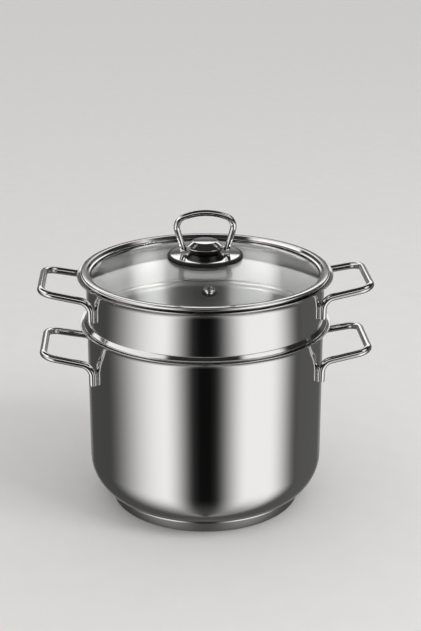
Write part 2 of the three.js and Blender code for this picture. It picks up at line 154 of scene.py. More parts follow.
class Shader:
    """The nodes of one material, or of the world."""

    def __init__(self, owner):
        owner.use_nodes = True
        self.tree = owner.node_tree
        self.tree.nodes.clear()

    def node(self, kind, settings, inputs, output=0):
        """Add a node, set it up, fill or link its inputs and give back one of its outputs."""
        made = self.tree.nodes.new(kind)
        for name, setting in settings.items():
            setattr(made, name, setting)
        for key, value in inputs.items():
            if isinstance(value, Value):
                self.tree.links.new(value.socket, made.inputs[key])
            else:
                made.inputs[key].default_value = value
        return Value(self, made.outputs[output]) if made.outputs else None

    def math(self, operation, first, second):
        return self.node("ShaderNodeMath", {"operation": operation}, {0: first, 1: second})

    def blend(self, amount, first, second):
        """Mix two colours, which are inputs 6 and 7 of a Mix node and its output 2."""
        return self.node("ShaderNodeMix", {"data_type": "RGBA"}, {0: amount, 6: first, 7: second}, 2)

    def place(self):
        return self.node("ShaderNodeTexCoord", {}, {}, "Object")

    def noise(self, place, scale, stretch, detail):
        """Cloudy noise, squeezed along an axis by that axis's stretch."""
        stretched = self.node("ShaderNodeMapping", {}, {"Vector": place, "Scale": stretch})
        return self.node("ShaderNodeTexNoise", {}, {"Vector": stretched, "Scale": scale, "Detail": detail})

    def rings(self, place, per_metre):
        """Noise that runs round the Z axis in fine lines, on walls and on flats alike."""
        axes = {name: self.node("ShaderNodeSeparateXYZ", {}, {0: place}, name) for name in "XYZ"}
        radius = self.math("POWER", axes["X"] * axes["X"] + axes["Y"] * axes["Y"], 0.5)
        return self.node("ShaderNodeTexNoise", {"noise_dimensions": "1D"},
                         {"W": radius + axes["Z"], "Scale": per_metre, "Detail": 4})

    def surface(self, inputs):
        shaded = self.node("ShaderNodeBsdfPrincipled", {}, inputs)
        self.node("ShaderNodeOutputMaterial", {}, {"Surface": shaded})


BELT_LINES_PER_METRE = 2600
BELT_LINE_SHARE = 0.7
CLOUD_SCALE = 9
CLOUD_SPREAD = 0.03
EVEN = (1, 1, 1)
ROUND_THE_AXIS = 0.25


def belt_steel(name, pale, dark, roughness, line_spread, grain):
    """Stainless steel run against a belt: lines round the axis, and a faint cloudiness from the rolling."""
    material = bpy.data.materials.new(name)
    shader = Shader(material)
    place = shader.place()
    lines = shader.rings(place, BELT_LINES_PER_METRE)
    cloud = shader.noise(place, CLOUD_SCALE, EVEN, detail=3)
    tone = BELT_LINE_SHARE * lines + (1 - BELT_LINE_SHARE) * cloud
    shader.surface({
        "Base Color": shader.blend(tone, dark, pale),
        "Roughness": roughness + line_spread * (lines - 0.5) + CLOUD_SPREAD * (cloud - 0.5),
        "Metallic": 1.0,
        "Anisotropic": grain,
        "Anisotropic Rotation": ROUND_THE_AXIS,
    })
    return material


FACING_IN = 0.1
FACING_DOWN = -0.5


def leave_inside_satin(bm, below_z):
    """Give the hollow side of a vessel, up to a height, its second finish."""
    for face in bm.faces:
        middle = face.calc_center_median()
        outward = Vector((middle.x, middle.y, 0)).normalized()
        hollow = face.normal.dot(outward) < FACING_IN and face.normal.z > FACING_DOWN
        face.material_index = int(hollow and middle.z < below_z)


polished_steel = belt_steel("polished_steel", pale=(0.72, 0.715, 0.71, 1), dark=(0.65, 0.645, 0.64, 1),
                            roughness=0.1, line_spread=0.04, grain=0.7)
satin_steel = belt_steel("satin_steel", pale=(0.58, 0.575, 0.57, 1), dark=(0.5, 0.495, 0.49, 1),
                         roughness=0.46, line_spread=0.06, grain=1.0)
pot_shell = outline([
    (0, pot_low.z, 0),
    (wall_radius, pot_low.z, POT_FOOT_ROUND),
    (wall_radius, pot_high.z - SHEET, POT_FLARE - LIP_FLAT),
    (pot_high.x, pot_high.z - SHEET, 0),
], closed=False)
turn(pot_shell, VESSEL_FACETS)
bmesh.ops.solidify(pot_shell, geom=pot_shell.faces[:], thickness=SHEET)
soften(pot_shell, LIP_EDGE_ROUND)
leave_inside_satin(pot_shell, pot_high.z - POT_FLARE)
add_piece(pot_shell, "pot_shell", [polished_steel, satin_steel], "pot", "pot_body")

# Capsule base
# A shallow steel cup pressed and brazed over an aluminium disc under the pot, which spreads the heat.
# Its side leans out to a polished lip at the seam on the body, and its underside is faced flat on a lathe.
CAPSULE_SHEET = 0.0007
CAPSULE_TAPER = 0.0036
CAPSULE_FOOT_ROUND = 0.0025
CAPSULE_EDGE_ROUND = 0.0002
CAPSULE_LIP = 0.001
capsule_low, capsule_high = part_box("base_cap")
capsule_lip_z = capsule_high.z - CAPSULE_LIP
capsule_steel = belt_steel("capsule_steel", pale=(0.34, 0.335, 0.33, 1), dark=(0.26, 0.255, 0.25, 1),
                           roughness=0.42, line_spread=0.1, grain=0.0)
capsule = outline([
    (0, capsule_low.z, 0),
    (capsule_high.x - CAPSULE_TAPER, capsule_low.z, CAPSULE_FOOT_ROUND),
    (capsule_high.x, capsule_lip_z, 0),
    (capsule_high.x, capsule_high.z, 0),
], closed=False)
turn(capsule, VESSEL_FACETS)
bmesh.ops.solidify(capsule, geom=capsule.faces[:], thickness=CAPSULE_SHEET)
soften(capsule, CAPSULE_EDGE_ROUND)
for face in capsule.faces:
    face.material_index = int(face.calc_center_median().z > capsule_lip_z)
add_piece(capsule, "base_capsule", [capsule_steel, polished_steel], "pot", "base_cap")

ALUMINIUM_PALE = (0.74, 0.75, 0.76, 1)
ALUMINIUM_DARK = (0.6, 0.61, 0.62, 1)
ALUMINIUM_ROUGHNESS = 0.45
MOTTLE_SCALE = 220
MOTTLE_SPREAD = 0.15


def cast_aluminium():
    """Plain aluminium disc, dull and a little mottled."""
    material = bpy.data.materials.new("base_aluminium")
    shader = Shader(material)
    place = shader.place()
    mottle = shader.noise(place, MOTTLE_SCALE, EVEN, detail=4)
    shader.surface({
        "Base Color": shader.blend(mottle, ALUMINIUM_DARK, ALUMINIUM_PALE),
        "Roughness": ALUMINIUM_ROUGHNESS + MOTTLE_SPREAD * mottle,
        "Metallic": 1.0,
    })
    return material


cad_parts["base_core"].material_slots[0].material = cast_aluminium()

# Side handles
# Each is one length of polished stainless wire bent four times into two legs, two arms and a bar.
# The legs are pressed a little flat where they are spot welded to the pot and to the insert.
HANDLE_WIRE = 0.0068
HANDLE_LEG = 0.019
HANDLE_PRESS = 0.0004
HANDLE_WELD_GAP = 0.00005
HANDLE_LEG_BEND = 0.012
HANDLE_BAR_BEND = 0.013
HANDLE_TAPER = 0.0039
WIRE_FACETS = 32
WIRE_END_ROUND = 0.0008
BEND_STEP = math.radians(4)
DRAW_STEP = 0.003


def bend_wire(diameter, route, bends):
    """Draw a ring of wire along the route, turning each inner corner at its own bend radius."""
    bm = bmesh.new()
    heading = (route[1] - route[0]).normalized()
    upright = heading.to_track_quat("Z", "Y").to_matrix().to_4x4()
    bmesh.ops.create_circle(bm, cap_ends=False, radius=diameter / 2, segments=WIRE_FACETS,
                            matrix=Matrix.Translation(route[0]) @ upright)
    ring = bm.edges[:]
    here = route[0]
    for corner, after, bend in zip(route[1:], route[2:], bends):
        turned = (after - corner).normalized()
        angle = heading.angle(turned)
        axis = heading.cross(turned).normalized()
        start = corner - heading * bend * math.tan(angle / 2)
        centre = start + axis.cross(heading) * bend
        ring = draw_straight(bm, ring, start - here)
        spun = bmesh.ops.spin(bm, geom=ring + ring_points(ring), cent=centre, axis=axis, angle=angle,
                              steps=max(3, round(angle / BEND_STEP)))
        ring = [part for part in spun["geom_last"] if isinstance(part, bmesh.types.BMEdge)]
        here = corner + turned * bend * math.tan(angle / 2)
        heading = turned
    draw_straight(bm, ring, route[-1] - here)
    bmesh.ops.holes_fill(bm, edges=[edge for edge in bm.edges if edge.is_boundary], sides=0)
    bmesh.ops.recalc_face_normals(bm, faces=bm.faces[:])
    soften(bm, WIRE_END_ROUND)
    return bm


def ring_points(ring):
    """The points of a ring of edges."""
    return list({point for edge in ring for point in edge.verts})


def draw_straight(bm, ring, length):
    """Pull a ring of edges out straight in short steps and return the last ring."""
    steps = max(1, round(length.length / DRAW_STEP))
    for _ in range(steps):
        drawn = bmesh.ops.extrude_edge_only(bm, edges=ring)["geom"]
        points = {part for part in drawn if isinstance(part, bmesh.types.BMVert)}
        bmesh.ops.translate(bm, verts=list(points), vec=length / steps)
        ring = [part for part in drawn
                if isinstance(part, bmesh.types.BMEdge) and set(part.verts) <= points]
    return ring


def press_flat(bm, surface_radius):
    """Press a wire flat where it lies against a round surface."""
    for point in bm.verts:
        reach = math.hypot(point.co.x, point.co.y)
        closest = surface_radius(point.co.z)
        if reach < closest:
            point.co.xy *= closest / reach


SWIRL_SCALE = 60
SWIRL_STRETCH = (1, 1, 3)
SWIRL_SPREAD = 0.03
HAZE_SCALE = 14
HAZE_SPREAD = 0.02


def mirror_steel(name, pale, dark, roughness):
    """Buffed stainless steel: a mirror with faint swirls from the mop."""
    material = bpy.data.materials.new(name)
    shader = Shader(material)
    place = shader.place()
    swirl = shader.noise(place, SWIRL_SCALE, SWIRL_STRETCH, detail=5)
    haze = shader.noise(place, HAZE_SCALE, EVEN, detail=2)
    shader.surface({
        "Base Color": shader.blend(haze, dark, pale),
        "Roughness": roughness + SWIRL_SPREAD * swirl + HAZE_SPREAD * haze,
        "Metallic": 1.0,
    })
    return material


wire_steel = mirror_steel("wire_steel", pale=(0.82, 0.815, 0.81, 1), dark=(0.72, 0.715, 0.71, 1),
                          roughness=0.05)


def add_side_handle(name, node, body, side):
    """Bend one handle to its solid's box, on the left (-1) or the right (1)."""
    low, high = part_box(node)
    wire_radius = HANDLE_WIRE / 2
    leg_y = high.y - wire_radius
    leg_x = math.sqrt((wall_radius + wire_radius - HANDLE_PRESS) ** 2 - leg_y ** 2)
    bar_x = max(-low.x, high.x) - wire_radius
    bar_y = leg_y - HANDLE_TAPER
    bar_z = high.z - wire_radius
    leg_z = low.z + HANDLE_LEG
    route = [
        Vector((side * leg_x, -leg_y, low.z)),
        Vector((side * leg_x, -leg_y, leg_z)),
        Vector((side * bar_x, -bar_y, bar_z)),
        Vector((side * bar_x, bar_y, bar_z)),
        Vector((side * leg_x, leg_y, leg_z)),
        Vector((side * leg_x, leg_y, low.z)),
    ]
    bends = [HANDLE_LEG_BEND, HANDLE_BAR_BEND, HANDLE_BAR_BEND, HANDLE_LEG_BEND]
    bm = bend_wire(HANDLE_WIRE, route, bends)
    press_flat(bm, lambda height: wall_radius + HANDLE_WELD_GAP)
    add_piece(bm, name, [wire_steel], body, node)


for side_name, side in (("left", -1), ("right", 1)):
    add_side_handle(f"pot_wire_{side_name}", f"pot_handle_{side_name}", "pot", side)
    add_side_handle(f"insert_wire_{side_name}", f"insert_handle_{side_name}", "insert", side)

# Strainer insert
# A second drawn stainless sheet: its shoulder sits in the pot's lip, its collar stands above it and its
# basket hangs inside. The basket is punched with staggered rows of round holes in its wall and with
# rings of holes in its bottom.
COLLAR_FLARE = 0.0088
SHOULDER_OUT = 0.0032
SHOULDER_RISE = 0.0043
SHOULDER_EDGE = 0.0014
SHOULDER_EDGE_ROUND = 0.0006
SHOULDER_ROOT_ROUND = 0.0015
BASKET_DEPTH = 0.1462
BASKET_PLAY = 0.0046
BASKET_FOOT_ROUND = 0.022
LEDGE_ROUND = 0.002
HOLE_DIAMETER = 0.006
HOLES_IN_ROW = 18
HOLE_ROWS = 5
HOLE_ROW_PITCH = 0.016
FIRST_ROW_RISE = 0.010
HOLE_RING_PITCH = 0.022
HOLE_RINGS = 3
HOLES_MORE_PER_RING = 6
HOLE_SIDES = 16
FACETS_PER_HOLE = 16
ROW_SLICES = 8
insert_low, insert_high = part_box("insert_body")
collar_radius = insert_high.x - COLLAR_FLARE
basket_radius = collar_radius - SHEET - BASKET_PLAY
seat_z = insert_low.z + BASKET_DEPTH
shoulder_radius = collar_radius + SHOULDER_OUT
first_row_z = insert_low.z + BASKET_FOOT_ROUND + FIRST_ROW_RISE
holes_low_z = first_row_z - HOLE_ROW_PITCH / 2
holes_high_z = holes_low_z + HOLE_ROWS * HOLE_ROW_PITCH


def punch(bm, centre, diameter):
    """Cut the faces round a grid point away and draw what is left round the gap to a circle."""
    near = {point for face in centre.link_faces for point in face.verts}
    patch = {face for point in near for face in point.link_faces}
    rim = {point for face in patch for point in face.verts} - near
    middle = centre.co.copy()
    normal = centre.normal.copy()
    for point in rim:
        offset = point.co - middle
        rise = offset.dot(normal)
        across = offset - rise * normal
        shrink = diameter / 2 / across.length
        point.co = middle + across * shrink + normal * rise * shrink ** 2
    bmesh.ops.delete(bm, geom=list(patch), context="FACES")


def nearest_points(bm, places):
    """The mesh's own points that lie closest to the places given."""
    bm.verts.ensure_lookup_table()
    tree = kdtree.KDTree(len(bm.verts))
    for index, point in enumerate(bm.verts):
        tree.insert(point.co, index)
    tree.balance()
    return [bm.verts[tree.find(place)[1]] for place in places]


def wall_hole_places():
    """Middles of the holes in the wall, whose rows start a quarter step left or right of the front."""
    places = []
    half_step = math.pi / HOLES_IN_ROW
    for row in range(HOLE_ROWS):
        for hole in range(HOLES_IN_ROW):
            angle = half_step * (2 * hole + 0.5 + row % 2) - math.pi / 2
            reach = Vector((math.cos(angle), math.sin(angle), 0)) * basket_radius
            places.append(reach + Vector((0, 0, first_row_z + row * HOLE_ROW_PITCH)))
    return places


def fill_bottom(bm):
    """Close the flat bottom of the basket, leaving its rings of holes open."""
    foot = [edge for edge in bm.edges if edge.is_boundary
            and all(abs(point.co.z - insert_low.z) < SEAM_GAP for point in edge.verts)]
    edges = foot[:]
    for ring in range(HOLE_RINGS + 1):
        count = max(HOLES_MORE_PER_RING * ring, 1)
        for hole in range(count):
            angle = hole * 2 * math.pi / count
            place = Vector((math.cos(angle), math.sin(angle), 0)) * ring * HOLE_RING_PITCH
            place.z = insert_low.z
            made = bmesh.ops.create_circle(bm, cap_ends=False, radius=HOLE_DIAMETER / 2,
                                           segments=HOLE_SIDES, matrix=Matrix.Translation(place))
            edges += list({edge for point in made["verts"] for edge in point.link_edges})
    bmesh.ops.triangle_fill(bm, use_beauty=True, edges=edges)


insert_shell = outline([
    (basket_radius - BASKET_FOOT_ROUND, insert_low.z, 0),
    (basket_radius, insert_low.z, BASKET_FOOT_ROUND - SEAM_GAP),
    (basket_radius, holes_low_z, 0),
    (basket_radius, holes_high_z, 0),
    (basket_radius, seat_z, LEDGE_ROUND),
    (shoulder_radius, seat_z, SHOULDER_EDGE_ROUND),
    (shoulder_radius, seat_z + SHOULDER_EDGE, SHOULDER_EDGE_ROUND),
    (collar_radius, seat_z + SHOULDER_RISE, SHOULDER_ROOT_ROUND),
    (collar_radius, insert_high.z - SHEET, COLLAR_FLARE - LIP_FLAT),
    (insert_high.x, insert_high.z - SHEET, 0),
], closed=False)
holes_span = {round(holes_low_z, 6), round(holes_high_z, 6)}
punched_strip = [edge for edge in insert_shell.edges
                 if {round(point.co.z, 6) for point in edge.verts} == holes_span]
bmesh.ops.subdivide_edges(insert_shell, edges=punched_strip, cuts=HOLE_ROWS * ROW_SLICES - 1)
turn(insert_shell, HOLES_IN_ROW * FACETS_PER_HOLE)
insert_shell.normal_update()
for hole_centre in nearest_points(insert_shell, wall_hole_places()):
    punch(insert_shell, hole_centre, HOLE_DIAMETER)
fill_bottom(insert_shell)
bmesh.ops.remove_doubles(insert_shell, verts=insert_shell.verts[:], dist=SEAM_GAP)
bmesh.ops.recalc_face_normals(insert_shell, faces=insert_shell.faces[:])
bmesh.ops.solidify(insert_shell, geom=insert_shell.faces[:], thickness=SHEET)
leave_inside_satin(insert_shell, insert_high.z - COLLAR_FLARE)
insert_finishes = [polished_steel, satin_steel]
add_piece(insert_shell, "insert_shell", insert_finishes, "insert", "insert_body")

# Lid glass
# A round of clear toughened glass sagged to a shallow dome, drilled in the middle for the knob's screw
# and near its front for the steam vent. Its ground edge is held in the steel band.
GLASS_THICKNESS = 0.004
DOME_RADIUS = 0.3572
GLASS_EDGE_ROUND = 0.0006
SCREW_HOLE = 0.0054
VENT_AT = 0.077
VENT_HOLE = 0.0068
DOME_SLICES = 42
WIPE_SCALE = 25
WIPE_STRETCH = (1, 2, 1)
WIPE_HAZE = 0.015
GLASS_TINT = (0.955, 0.975, 0.97, 1)
GLASS_TINT_WIPED = (0.975, 0.985, 0.98, 1)
_, glass_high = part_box("lid_glass")
dome_centre_z = glass_high.z - math.sqrt(DOME_RADIUS ** 2 - (SCREW_HOLE / 2) ** 2)


def dome_height(radius):
    """Height of the upper face of the glass at a distance from the axis."""
    return dome_centre_z + math.sqrt(DOME_RADIUS ** 2 - radius ** 2)


def clear_glass():
    """Clear glass with the faintest green, and a trace of haze where it has been wiped."""
    material = bpy.data.materials.new("clear_glass")
    shader = Shader(material)
    place = shader.place()
    wiped = shader.noise(place, WIPE_SCALE, WIPE_STRETCH, detail=3)
    shader.surface({
        "Base Color": shader.blend(wiped, GLASS_TINT, GLASS_TINT_WIPED),
        "Roughness": WIPE_HAZE * wiped,
        "Transmission Weight": 1.0,
        "IOR": 1.5,
    })
    return material


lid_glass = bmesh.new()
glass_tip = lid_glass.verts.new((SCREW_HOLE / 2, 0, dome_height(SCREW_HOLE / 2)))
dome_sweep = math.asin(glass_high.x / DOME_RADIUS) - math.asin(SCREW_HOLE / 2 / DOME_RADIUS)
bmesh.ops.spin(lid_glass, geom=[glass_tip], cent=(0, 0, dome_centre_z), axis=(0, 1, 0),
               angle=dome_sweep, steps=DOME_SLICES)
turn(lid_glass, VESSEL_FACETS)
lid_glass.normal_update()
vent_place = Vector((0, -VENT_AT, dome_height(VENT_AT)))
punch(lid_glass, nearest_points(lid_glass, [vent_place])[0], VENT_HOLE)
bmesh.ops.solidify(lid_glass, geom=lid_glass.faces[:], thickness=GLASS_THICKNESS)
soften(lid_glass, GLASS_EDGE_ROUND, beyond=VENT_AT + VENT_HOLE)
add_piece(lid_glass, "lid_dome", [clear_glass()], "lid", "lid_glass")

# Lid band and its seal
# A strip of thin stainless steel rolled to a ring, which grips the edge of the glass and rests in the
# insert's lip. A black silicone ring under its inner edge keeps the steel off the glass.
BAND_SHEET = 0.0005
BAND_OUT = 0.0052
BAND_PLAY = 0.0004
BAND_RISE = 0.0009
BAND_GRIP = 0.0021
BAND_EDGE_ROUND = 0.0014
BAND_ROOT_ROUND = 0.0004
BAND_RING_WIDTH = 0.0056
BAND_RING_FALL = 0.00002
BAND_STEP_ROUND = 0.0005
BAND_LIP_WIDTH = 0.0018
BAND_LIP_FALL = 0.0002
BAND_LIP_ROUND = 0.0002
SEAL_GAP = 0.0001
SEAL_SHOW = 0.0004
SEAL_ROUND = 0.0002
band_low, band_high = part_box("lid_rim")
plug_radius = band_high.x - BAND_OUT - SHEET - BAND_PLAY
grip_radius = plug_radius - BAND_SHEET
flange_radius = grip_radius - BAND_GRIP
_, seal_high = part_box("rim_seal")
flange_z = seal_high.z + SEAL_GAP
rest_z = flange_z + BAND_SHEET - BAND_RISE
lip_z = flange_z + BAND_SHEET
hem_z = band_low.z + BAND_SHEET
band_steel = mirror_steel("band_steel", pale=(0.82, 0.815, 0.81, 1), dark=(0.73, 0.725, 0.72, 1),
                          roughness=0.06)
lid_band = outline([
    (flange_radius, band_low.z, 0),
    (plug_radius, band_low.z, BAND_ROOT_ROUND),
    (plug_radius, rest_z, BAND_ROOT_ROUND),
    (band_high.x, rest_z, BAND_EDGE_ROUND),
    (band_high.x, band_high.z, BAND_EDGE_ROUND),
    (band_high.x - BAND_RING_WIDTH, band_high.z - BAND_RING_FALL, BAND_STEP_ROUND),
    (flange_radius + BAND_LIP_WIDTH, lip_z + BAND_LIP_FALL, BAND_STEP_ROUND),
    (flange_radius, lip_z, BAND_LIP_ROUND),
    (flange_radius, flange_z, 0),
    (grip_radius, flange_z, 0),
    (grip_radius, hem_z, 0),
    (flange_radius, hem_z, 0),
], closed=True)
turn(lid_band, VESSEL_FACETS)
add_piece(lid_band, "lid_band", [band_steel], "lid", "lid_rim")

SILICONE_PALE = (0.016, 0.016, 0.017, 1)
SILICONE_DARK = (0.006, 0.006, 0.007, 1)
SILICONE_ROUGHNESS = 0.35
SILICONE_GRAIN_SCALE = 900
SILICONE_GRAIN_DEPTH = 0.0002
SILICONE_GRAIN_SPREAD = 0.2


def black_silicone(name):
    """Moulded silicone: dull black with a fine grain."""
    material = bpy.data.materials.new(name)
    shader = Shader(material)
    place = shader.place()
    grain = shader.noise(place, SILICONE_GRAIN_SCALE, EVEN, detail=3)
    bump = shader.node("ShaderNodeBump", {},
                       {"Strength": 0.15, "Distance": SILICONE_GRAIN_DEPTH, "Height": grain})
    shader.surface({
        "Base Color": shader.blend(grain, SILICONE_DARK, SILICONE_PALE),
        "Roughness": SILICONE_ROUGHNESS + SILICONE_GRAIN_SPREAD * grain,
        "Specular IOR Level": 0.2,
        "Normal": bump,
    })
    return material


seal_inner = flange_radius - SEAL_SHOW
rim_seal = outline([
    (seal_inner, dome_height(seal_inner) + SEAL_GAP, 0),
    (seal_high.x, dome_height(seal_high.x) + SEAL_GAP, 0),
    (seal_high.x, seal_high.z, 0),
    (seal_inner, seal_high.z, SEAL_ROUND),
], closed=True)
turn(rim_seal, VESSEL_FACETS)
seal_silicone = black_silicone("seal_silicone")
add_piece(rim_seal, "band_seal", [seal_silicone], "lid", "rim_seal")

# Steam vent
# A polished steel eyelet pushed down through the glass, so that its bore lets steam out.
# Its lower end is rolled over a steel washer under the glass, coloured near black as painted shade.
VENT_BORE = 0.0024
VENT_TUBE = 0.0008
VENT_FLANGE = 0.0052
VENT_FLANGE_RISE = 0.0019
VENT_FLANGE_TAPER = 0.00065
VENT_ROLL = 0.0046
VENT_WASHER = 0.0066
VENT_WASHER_THICKNESS = 0.0008
VENT_SEAT = 0.0002
VENT_EDGE_ROUND = 0.0002
VENT_ROLL_ROUND = 0.0003
VENT_FLANGE_ROUND = 0.0004
VENT_MOUTH_ROUND = 0.0007
VENT_FACETS = 48
vent_lean = Matrix.Rotation(math.asin(VENT_AT / DOME_RADIUS), 4, "X")
onto_dome = Matrix.Translation(vent_place) @ vent_lean
vent_steel = mirror_steel("vent_steel", pale=(0.84, 0.835, 0.83, 1), dark=(0.76, 0.755, 0.75, 1),
                          roughness=0.05)
washer_top = -GLASS_THICKNESS - 2 * VENT_SEAT
roll_top = washer_top - VENT_WASHER_THICKNESS - VENT_SEAT
flange_top = VENT_SEAT + VENT_FLANGE_RISE
vent_eyelet = outline([
    (VENT_BORE, roll_top - VENT_TUBE, VENT_EDGE_ROUND),
    (VENT_ROLL, roll_top - VENT_TUBE, VENT_ROLL_ROUND),
    (VENT_ROLL, roll_top, VENT_EDGE_ROUND),
    (VENT_BORE + VENT_TUBE, roll_top, 0),
    (VENT_BORE + VENT_TUBE, VENT_SEAT, 0),
    (VENT_FLANGE, VENT_SEAT, VENT_EDGE_ROUND),
    (VENT_FLANGE - VENT_FLANGE_TAPER, flange_top, VENT_FLANGE_ROUND),
    (VENT_BORE, flange_top, VENT_MOUTH_ROUND),
], closed=True)
turn(vent_eyelet, VENT_FACETS)
bmesh.ops.transform(vent_eyelet, matrix=onto_dome, verts=vent_eyelet.verts[:])
add_piece(vent_eyelet, "vent_bush", [vent_steel], "lid", "vent_eyelet")
vent_washer = outline([
    (VENT_BORE + VENT_TUBE + VENT_SEAT, washer_top - VENT_WASHER_THICKNESS, 0),
    (VENT_WASHER, washer_top - VENT_WASHER_THICKNESS, VENT_EDGE_ROUND),
    (VENT_WASHER, washer_top, VENT_EDGE_ROUND),
    (VENT_BORE + VENT_TUBE + VENT_SEAT, washer_top, 0),
], closed=True)
turn(vent_washer, VENT_FACETS)
bmesh.ops.transform(vent_washer, matrix=onto_dome, verts=vent_washer.verts[:])
# The washer's near-black colour is painted shade, so that it sinks into the dark under the vent.
washer_painted_shade = mirror_steel("washer_painted_shade", pale=(0.07, 0.07, 0.07, 1), dark=(0.05, 0.05, 0.05, 1),
                            roughness=0.45)
add_piece(vent_washer, "vent_ring", [washer_painted_shade], "lid", "vent_washer")

# Knob
# A black silicone pad shaped to the dome carries a polished steel disc, and a turned steel hub on it holds
# a loop of bent wire. The hub's undercut below the waist is coloured near black as painted shade. A screw
# from under the glass draws hub, disc and pad down tight.
KNOB_FACETS = 96
PAD_EDGE_ROUND = 0.001
PAD_RECESS_ROUND = 0.0003
PAD_SEAT = 0.0002
PLATE_SEAT = 0.0002
PLATE_EDGE_ROUND = 0.0003
PLATE_EDGE = 0.001
PLATE_SLICES = 8
HUB_FOOT = 0.014
HUB_FOOT_ROUND = 0.0004
HUB_WAIST_HEIGHT = 0.0053
HUB_WAIST_ROUND = 0.0007
HUB_TOP = 0.0113
HUB_TOP_ROUND = 0.0006
LOOP_WIRE = 0.0059
LOOP_FOOT = 0.01985
LOOP_FOOT_RISE = 0.0008
LOOP_SHOULDER = 0.0286
LOOP_SHOULDER_DROP = 0.0096
LOOP_BEND = 0.0105
LOOP_CROWN_BEND = 0.052
LOOP_WELD_GAP = 0.0001
screw_hole = SCREW_HOLE / 2
_, pad_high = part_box("knob_pad")
plate_low, plate_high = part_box("knob_plate")
hub_low, hub_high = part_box("knob_hub")
hub_waist_z = hub_low.z + HUB_WAIST_HEIGHT
_, loop_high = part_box("knob_loop")
knob_pad = outline([
    (screw_hole, dome_height(screw_hole) + PAD_SEAT, 0),
    (pad_high.x / 2, dome_height(pad_high.x / 2) + PAD_SEAT, 0),
    (pad_high.x, dome_height(pad_high.x) + PAD_SEAT, 0),
    (pad_high.x, pad_high.z, PAD_EDGE_ROUND),
    (plate_high.x + PLATE_SEAT, pad_high.z, PAD_RECESS_ROUND),
    (plate_high.x + PLATE_SEAT, plate_low.z - PLATE_SEAT, 0),
    (screw_hole, plate_low.z - PLATE_SEAT, 0),
], closed=True)
turn(knob_pad, KNOB_FACETS)
pad_silicone = black_silicone("pad_silicone")
add_piece(knob_pad, "knob_cushion", [pad_silicone], "lid", "knob_pad")
knob_steel = mirror_steel("knob_steel", pale=(0.84, 0.835, 0.83, 1), dark=(0.76, 0.755, 0.75, 1),
                          roughness=0.04)
plate_edge_z = plate_low.z + PLATE_EDGE
plate_crown = plate_high.z - plate_edge_z
plate_top = []
for step in range(1, PLATE_SLICES + 1):
    step_radius = plate_high.x + (screw_hole - plate_high.x) * step / PLATE_SLICES
    step_rise = plate_crown * (1 - (step_radius / plate_high.x) ** 2)
    plate_top.append((step_radius, plate_edge_z + step_rise, 0))
knob_plate = outline([
    (screw_hole, plate_low.z, 0),
    (plate_high.x, plate_low.z, 0),
    (plate_high.x, plate_edge_z, PLATE_EDGE_ROUND),
    *plate_top,
], closed=True)
turn(knob_plate, KNOB_FACETS)
add_piece(knob_plate, "knob_disc", [knob_steel], "lid", "knob_plate")
knob_hub = outline([
    (0, hub_low.z, 0),
    (HUB_FOOT, hub_low.z, HUB_FOOT_ROUND),
    (hub_high.x, hub_waist_z, HUB_WAIST_ROUND),
    (HUB_TOP, hub_high.z, HUB_TOP_ROUND),
    (0, hub_high.z, 0),
], closed=False)
turn(knob_hub, KNOB_FACETS)
# Faces below the waist take the near-black second finish, which is painted shade and not the steel's own
# colour.
for face in knob_hub.faces:
    face.material_index = int(face.calc_center_median().z < hub_waist_z)
# Near-black steel that paints the shade under the hub's waist.
undercut_painted_shade = mirror_steel("undercut_painted_shade", pale=(0.1, 0.098, 0.096, 1), dark=(0.06, 0.059, 0.058, 1),
                              roughness=0.3)
add_piece(knob_hub, "knob_boss", [knob_steel, undercut_painted_shade], "lid", "knob_hub")


def hub_radius(height):
    """Radius of the hub at a height, on its drum below the waist and on its cone above."""
    drum = HUB_FOOT + (hub_high.x - HUB_FOOT) * (height - hub_low.z) / HUB_WAIST_HEIGHT
    cone = hub_high.x + (HUB_TOP - hub_high.x) * (height - hub_waist_z) / (hub_high.z - hub_waist_z)
    return min(drum, cone)


crown_half_turn = math.atan2(LOOP_SHOULDER_DROP, LOOP_SHOULDER)
loop_crown_z = loop_high.z - LOOP_WIRE / 2 + LOOP_CROWN_BEND * (1 / math.cos(crown_half_turn) - 1)
loop_foot_z = hub_low.z + LOOP_FOOT_RISE
knob_loop = bend_wire(LOOP_WIRE, [
    Vector((-LOOP_FOOT, 0, loop_foot_z)),
    Vector((-LOOP_SHOULDER, 0, loop_crown_z - LOOP_SHOULDER_DROP)),
    Vector((0, 0, loop_crown_z)),
    Vector((LOOP_SHOULDER, 0, loop_crown_z - LOOP_SHOULDER_DROP)),
    Vector((LOOP_FOOT, 0, loop_foot_z)),
], [LOOP_BEND, LOOP_CROWN_BEND, LOOP_BEND])
press_flat(knob_loop, lambda height: hub_radius(height) + LOOP_WELD_GAP)
add_piece(knob_loop, "knob_wire", [wire_steel], "lid", "knob_loop")

# Knob screw
# A turned steel screw under the glass, drawn up into the hub to clamp the knob.
# A steel washer spreads its grip, and a silicone ring keeps the hole tight.
SCREW_FACETS = 48
SCREW_SHANK = 0.0025
SCREW_HEAD = 0.003
SCREW_HEAD_ROUND = 0.0014
SCREW_TIP_ROUND = 0.0003
RING_EDGE_ROUND = 0.0002
screw_low, screw_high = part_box("knob_screw")
washer_low, washer_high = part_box("screw_washer")
gasket_low, gasket_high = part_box("screw_seal")
screw_steel = mirror_steel("screw_steel", pale=(0.7, 0.7, 0.7, 1), dark=(0.6, 0.6, 0.6, 1), roughness=0.16)
gasket_silicone = black_silicone("gasket_silicone")
knob_screw = outline([
    (0, screw_low.z, 0),
    (screw_high.x, screw_low.z, SCREW_HEAD_ROUND),
    (screw_high.x, screw_low.z + SCREW_HEAD, 0),
    (SCREW_SHANK, screw_low.z + SCREW_HEAD, 0),
    (SCREW_SHANK, screw_high.z, SCREW_TIP_ROUND),
    (0, screw_high.z, 0),
], closed=False)
turn(knob_screw, SCREW_FACETS)
add_piece(knob_screw, "knob_fixing", [screw_steel], "lid", "knob_screw")
